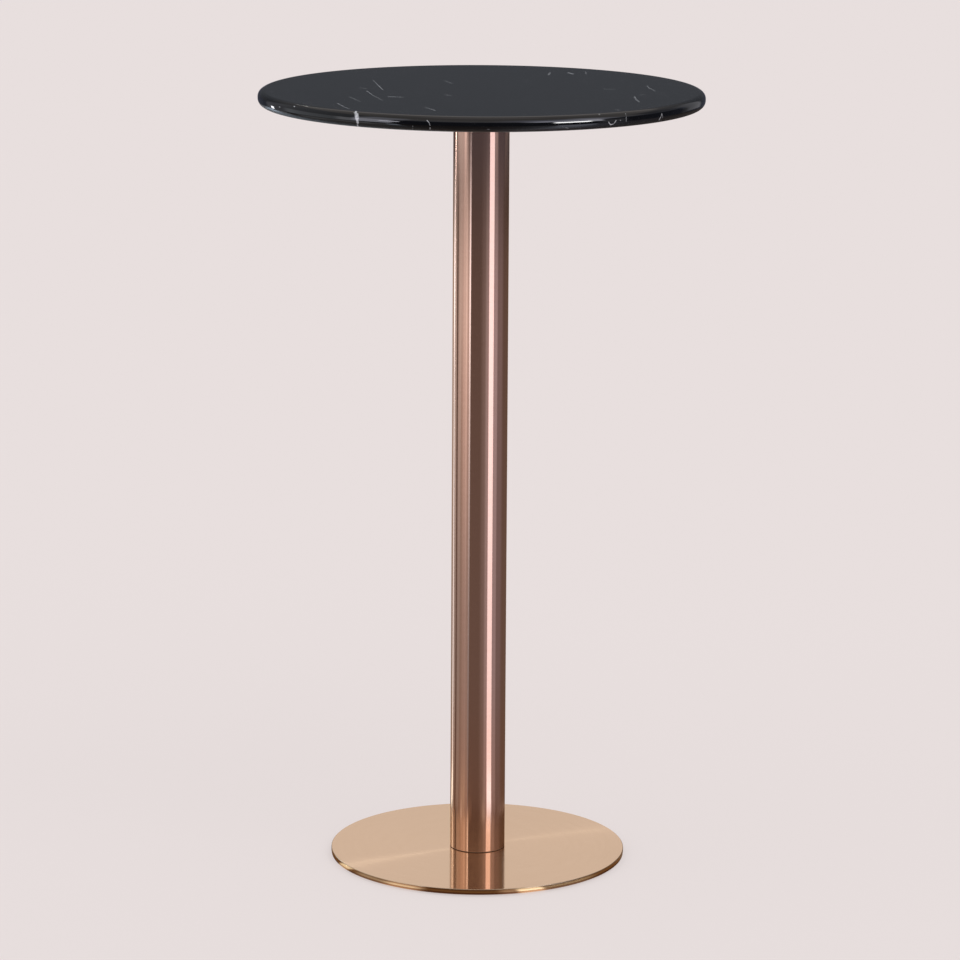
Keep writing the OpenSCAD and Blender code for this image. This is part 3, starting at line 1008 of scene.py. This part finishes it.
def set_floor():
    """The pale floor in the background's colour. It keeps a share of the shadow and is clear from below."""
    mesh = bpy.data.meshes.new("floor")
    half = 45.0
    mesh.from_pydata(
        [(-half, -half, 0), (half, -half, 0), (half, half, 0), (-half, half, 0)], [], [(0, 1, 2, 3)]
    )
    floor = placed("floor", mesh)
    floor.location.z = -0.05 * MM
    material, tree = bare_material("pale floor", mesh)
    lit = put(tree, "ShaderNodeBsdfDiffuse", {"Color": (0.862, 0.788, 0.781, 1.0)})
    shown = put(tree, "ShaderNodeEmission", {"Color": (*PAPER, 1.0), "Strength": 1.0})
    share = times(tree, seen_directly(tree), 0.7)
    surface = put(tree, "ShaderNodeMixShader", {0: share, 1: lit, 2: shown})
    clear = put(tree, "ShaderNodeBsdfTransparent")
    side = put(tree, "ShaderNodeNewGeometry").outputs["Backfacing"]
    surface = put(tree, "ShaderNodeMixShader", {0: side, 1: surface, 2: clear})
    tree.links.new(surface.outputs[0], tree.nodes["Material Output"].inputs["Surface"])
    material.cycles.emission_sampling = "NONE"


# Panels and cards round the table, as its metal and stone reflect them. Angles run from the camera's side,
# positive to the right; heights are in metres, and on the floor they go on below zero towards the table.
CARD_R = 1.5
CARD_TOP_Z = 6.0
CARD_INNER_R = 0.15
CARD_FLOOR_Z = 0.3 * MM
CARD_STEP = 0.74
CARD_STRENGTH = 20.0
# The pale backdrop card that the top of the base shows
BEHIND = (0.780, 0.722, 0.760)
BEHIND_TOP = 1.12
# The tone that the base shows from a higher angle, and how long its reflections' rays are in the two parts
OVERHEAD = (0.62, 0.58, 0.56)
BASE_REACH = (1.56, 1.62)
LONG_BASE_REACH = (1.86, 1.96)
# Up to the step, as the column shows them: middle angle, half angle, side softness, share left at the
# floor, colour
LOW_RISE = 0.42
LOW_CARDS = [
    (0, 200, 1, 1.1, (0.135, 0.112, 0.105)),
    (24, 16, 9, 0.95, (0.22, 0.20, 0.205)),
    (33, 10, 5, 0.9, (0.38, 0.37, 0.41)),
    (80, 24, 9, 0.85, (0.22, 0.20, 0.225)),
    (66, 9, 3, 0.75, (0.43, 0.42, 0.50)),
    (46.2, 10.3, 1.2, 0.80, (1.55, 1.60, 1.88)),
    (-149, 13, 3, 0.7, (0.46, 0.46, 0.48)),
    (-118.5, 5.5, 1.5, 0.65, (0.57, 0.59, 0.63)),
    (-132, 5.7, 1.2, 0.97, (1.03, 1.25, 1.49)),
    (-93, 8.5, 1.5, 0.58, (0.54, 0.54, 0.55)),
    (-78, 6, 2, 0.62, (0.46, 0.41, 0.39)),
    (-65, 9, 4, 0.5, (0.68, 0.62, 0.61)),
    (-57, 4, 1.5, 0.42, (0.84, 0.78, 0.79)),
    (-49.5, 4, 1, 0.65, (0.50, 0.46, 0.46)),
    (-42.5, 3, 0.8, 0.3, (0.95, 1.04, 1.17)),
]
# Close to the base, as the column's foot shows them: middle angle, half angle, side softness, colour
FOOT_OUT = (0.50, 0.38)
FOOT_CARDS = [
    (46.2, 9.5, 1.2, (1.60, 1.74, 2.00)),
    (-132, 5.5, 1.2, (1.95, 2.30, 2.35)),
    (-65, 9, 4, (0.43, 0.34, 0.26)),
    (-57, 4, 1.5, (0.50, 0.40, 0.31)),
    (-46, 4, 1, (0.40, 0.30, 0.24)),
]
# Under the step, as the column's upper half shows them: middle angle, half angle, side softness, low, colour
UPPER_CARDS = [
    (-132, 5.7, 1.2, 0.46, (1.9, 2.25, 2.7)),
    (-84, 9, 3, 0.44, (0.68, 0.67, 0.68)),
    (-65, 9, 4, 0.44, (0.82, 0.80, 0.81)),
    (-57, 4, 1.5, 0.44, (1.05, 1.05, 1.08)),
    (-49.5, 4, 1, 0.44, (0.72, 0.70, 0.71)),
    (-42.5, 3, 0.8, 0.44, (1.9, 2.1, 2.4)),
]
# Above it, as the stone's edge and face show them: middle angle, half angle, side softness, low, high,
# top softness, colour
HIGH_CARDS = [
    (0, 200, 1, CARD_STEP, 9.0, 0.1, (0.72, 0.68, 0.67)),
    (0, 200, 1, 1.2, 1.6, 0.1, (0.56, 0.60, 0.76)),
    (180, 62, 15, CARD_STEP, 2.4, 1.1, (0.085, 0.090, 0.102)),
    (0, 118, 6, CARD_STEP, 1.5, 0.12, (0.07, 0.075, 0.10)),
    (180, 62, 6, CARD_STEP, 1.15, 0.02, (0.07, 0.075, 0.10)),
    (-92, 33, 10, 0.78, 3.0, 0.6, (0.36, 0.37, 0.40)),
    (-92, 33, 10, 0.78, 1.22, 0.03, (0.70, 0.73, 0.78)),
    (-120, 11, 5, CARD_STEP, 1.35, 0.2, (0.27, 0.27, 0.30)),
    (-124.4, 1.6, 0.4, 0.79, 0.90, 0.01, (11.0, 11.0, 11.7)),
    (-66, 5, 3, 0.84, 1.2, 0.03, (1.5, 1.5, 1.6)),
    (105, 18, 8, 1.5, 2.2, 0.3, (0.24, 0.24, 0.27)),
    (64, 7, 3, 0.80, 1.2, 0.03, (0.45, 0.45, 0.50)),
    (130, 10, 3, 0.85, 1.8, 0.15, (0.38, 0.38, 0.41)),
]
# The height of the stone's edge, and how far, seen from above, its own reflections reach to the wall
EDGE_Z = 1.05
EDGE_REACH = (1.24, 1.27)
# Strong panels that only the stone's edge shows, because it is near them: as above
EDGE_CARDS = [
    (-50, 12, 3, 1.42, 2.3, 0.1, (1.5, 1.5, 1.7)),
    (-52, 10, 2, 0.86, 1.42, 0.1, (3.1, 3.1, 3.5)),
    (-43, 5, 1, 0.98, 1.12, 0.02, (9.0, 9.0, 10.0)),
    (45, 32, 12, 1.5, 2.9, 0.4, (1.05, 1.05, 1.25)),
    (60, 12, 5, 1.55, 2.6, 0.25, (1.9, 1.9, 2.2)),
    (40, 17, 7, 1.3, 1.75, 0.2, (3.6, 3.6, 4.2)),
    (54.5, 3.5, 1.5, 1.0, 1.6, 0.05, (4.5, 4.5, 5.0)),
    (42.5, 9, 1.5, 0.96, 1.22, 0.03, (26.0, 26.0, 26.0)),
]
# At the column's head, and only for it, by how long its reflections' rays are: as above
COLUMN_REACH = (1.36, 1.42)
HEAD_CARDS = [
    (46.2, 10.3, 1.2, 0.60, 1.0, 0.03, (1.30, 1.36, 1.62)),
]
# Next to the base, as its rim shows them: middle angle, half angle, side softness, colour for the rim's
# upper half, colour for its lower half
RIM_OUT = (0.265, 0.245)
RIM_HALF_WAY = (0.226, 0.221)
RIM_CARDS = [
    (0, 200, 1, (0.08, 0.035, 0.012), (0.17, 0.09, 0.04)),
    (40, 14, 6, (0.07, 0.03, 0.005), (0.38, 0.30, 0.21)),
    (14, 4, 3, (0.30, 0.20, 0.13), (0.45, 0.32, 0.24)),
    (22.5, 5.5, 1.5, (0.85, 0.75, 0.60), (1.7, 1.55, 1.3)),
    (-48, 9, 4, (0.12, 0.065, 0.03), (0.42, 0.34, 0.26)),
    (-32, 8, 4, (0.42, 0.26, 0.16), (1.0, 0.85, 0.68)),
    (-68, 4.5, 1.5, (0.95, 0.82, 0.70), (1.0, 0.92, 0.75)),
    (150, 60, 20, (0.35, 0.30, 0.27), (0.35, 0.30, 0.27)),
]


def card_share(tree, angle, middle, half, side):
    """How far an angle lies on a card, from 0 beside it to 1 on it."""
    away = calc(tree, "ABSOLUTE", calc(tree, "WRAP", minus(tree, angle, middle), 180.0, -180.0))
    return between(tree, away, half + side, half - side, smooth=True)


def card_tone(colour, share=1.0):
    """A card's colour, shared out over the strength that all cards glow with."""
    return (*[c * share / CARD_STRENGTH for c in colour], 1.0)


def card_colour(tree):
    """The cards' tone at each angle and height."""
    spot = split(tree, object_place(tree))
    out = vector_calc(tree, "LENGTH", point(tree, spot[0], spot[1]))
    height = minus(tree, spot[2], minus(tree, CARD_R, out))
    angle = calc(tree, "ARCTAN2", spot[0], times(tree, spot[1], -1.0))
    angle = times(tree, angle, 180 / math.pi)
    rise = between(tree, height, 0.0, LOW_RISE)
    reach = put(tree, "ShaderNodeLightPath").outputs["Ray Length"]
    climb = minus(tree, height, EDGE_Z)
    flat = minus(tree, times(tree, reach, reach), times(tree, climb, climb))
    near = between(tree, flat, EDGE_REACH[1] ** 2, EDGE_REACH[0] ** 2, smooth=True)
    colour = card_tone((0.0, 0.0, 0.0))
    for middle, half, side, floor_share, tone in LOW_CARDS:
        here = mixed_colour(tree, rise, card_tone(tone, floor_share), card_tone(tone))
        colour = mixed_colour(tree, card_share(tree, angle, middle, half, side), colour, here)
    warm = mixed_colour(tree, between(tree, out, 1.0, 0.35), (1.0, 1.0, 1.0, 1.0), (1.0, 0.86, 0.74, 1.0))
    colour = vector_calc(tree, "MULTIPLY", colour, warm)
    foot = between(tree, out, *FOOT_OUT, smooth=True)
    for middle, half, side, tone in FOOT_CARDS:
        share = times(tree, card_share(tree, angle, middle, half, side), foot)
        colour = mixed_colour(tree, share, colour, card_tone(tone))
    for middle, half, side, low, tone in UPPER_CARDS:
        share = times(
            tree, card_share(tree, angle, middle, half, side), between(tree, height, low, low + 0.02)
        )
        colour = mixed_colour(tree, share, colour, card_tone(tone))
    # Painted shade: the cards dim by half above 0.6 m, for the shade that the stone top casts on the column's
    # head in its reflections.
    head = between(tree, height, 0.60, 0.69, 0.0, 0.5, smooth=True)
    colour = mixed_colour(tree, head, colour, (0.0, 0.0, 0.0, 1.0))
    for cards, seen in (
        (HIGH_CARDS, 1.0), (EDGE_CARDS, near), (HEAD_CARDS, between(tree, reach, *COLUMN_REACH))
    ):
        for middle, half, side, low, high, end, tone in cards:
            over = between(tree, height, low, low + 0.02)
            under = times(tree, between(tree, height, high + end, high - end, smooth=True), seen)
            share = times(tree, times(tree, card_share(tree, angle, middle, half, side), over), under)
            colour = mixed_colour(tree, share, colour, card_tone(tone))
    below_face = between(tree, height, BEHIND_TOP + 0.02, BEHIND_TOP)
    low_part = times(tree, between(tree, reach, *BASE_REACH), below_face)
    from_base = calc(tree, "MAXIMUM", low_part, between(tree, reach, *LONG_BASE_REACH))
    from_base = times(tree, from_base, between(tree, height, CARD_STEP, CARD_STEP + 0.02))
    colour = mixed_colour(tree, from_base, colour, card_tone(OVERHEAD))
    behind = times(tree, card_share(tree, angle, 180, 16, 3), below_face)
    colour = mixed_colour(tree, behind, colour, card_tone(BEHIND))
    beside = between(tree, out, *RIM_OUT, smooth=True)
    half_way = between(tree, out, *RIM_HALF_WAY)
    rim = card_tone((0.0, 0.0, 0.0))
    for middle, half, side, upper, lower in RIM_CARDS:
        here = mixed_colour(tree, half_way, card_tone(upper), card_tone(lower))
        rim = mixed_colour(tree, card_share(tree, angle, middle, half, side), rim, here)
    return mixed_colour(tree, beside, colour, rim)


def set_cards():
    """Soft panels and dark cards on a ring round the table, seen only in reflections."""
    sides = 180
    rows = [(CARD_INNER_R, CARD_FLOOR_Z), (CARD_R, CARD_FLOOR_Z), (CARD_R, CARD_TOP_Z)]
    verts, faces = [], []
    for radius, z in rows:
        for i in range(sides):
            a = math.tau * i / sides
            verts.append((radius * math.cos(a), radius * math.sin(a), z))
    for j in range(len(rows) - 1):
        for i in range(sides):
            k = (i + 1) % sides
            faces.append((j * sides + i, j * sides + k, (j + 1) * sides + k, (j + 1) * sides + i))
    mesh = bpy.data.meshes.new("studio_cards")
    mesh.from_pydata(verts, [], faces)
    cards = placed("studio_cards", mesh)
    tree = bare_material("studio cards", mesh)[1]
    glow = put(tree, "ShaderNodeEmission", {"Color": card_colour(tree), "Strength": CARD_STRENGTH})
    tree.links.new(glow.outputs[0], tree.nodes["Material Output"].inputs["Surface"])
    for kind in ("camera", "diffuse", "transmission", "volume_scatter", "shadow"):
        setattr(cards, f"visible_{kind}", False)


def soft_light(name, angle, height, strength, spread, colour):
    """A broad soft light from one direction, the same all over the floor."""
    data = bpy.data.lights.new(name, "SUN")
    data.energy = strength
    data.angle = math.radians(spread)
    data.color = colour
    light = placed(name, data)
    a, e = math.radians(angle), math.radians(height)
    towards = Vector((math.sin(a) * math.cos(e), -math.cos(a) * math.cos(e), math.sin(e)))
    light.rotation_euler = towards.to_track_quat("Z", "Y").to_euler()
    light.visible_glossy = False
    return light


# The camera: lens in millimetres, place in metres, and how far it turns, looks down and leans, in degrees
CAMERA_LENS = 155.2
CAMERA_PLACE = (0.0, -5.530, 1.720)
CAMERA_TURN = -0.008
CAMERA_DOWN = 12.146
CAMERA_LEAN = 0.34


def set_camera():
    """The camera at the photograph's place, height and angle."""
    data = bpy.data.cameras.new("camera")
    data.sensor_width = 36.0
    data.lens = CAMERA_LENS
    data.clip_end = 100.0
    camera = placed("camera", data)
    turn, tilt, lean = (math.radians(angle) for angle in (CAMERA_TURN, 90 - CAMERA_DOWN, CAMERA_LEAN))
    look = Matrix.Rotation(turn, 4, "Z") @ Matrix.Rotation(tilt, 4, "X") @ Matrix.Rotation(lean, 4, "Z")
    camera.matrix_world = Matrix.Translation(CAMERA_PLACE) @ look
    scene.camera = camera


set_camera()
set_world()
set_floor()
set_cards()
soft_light("key light", angle=40, height=48, strength=0.55, spread=50, colour=(1.0, 0.99, 0.98))
soft_light("fill light", angle=-65, height=40, strength=0.2, spread=60, colour=(1.0, 1.0, 1.0))
far_lamp = soft_light("far lamp", angle=-165, height=29, strength=0.16, spread=1.2, colour=(1.0, 0.98, 0.95))
far_lamp.visible_glossy = True
far_lamp.visible_diffuse = False
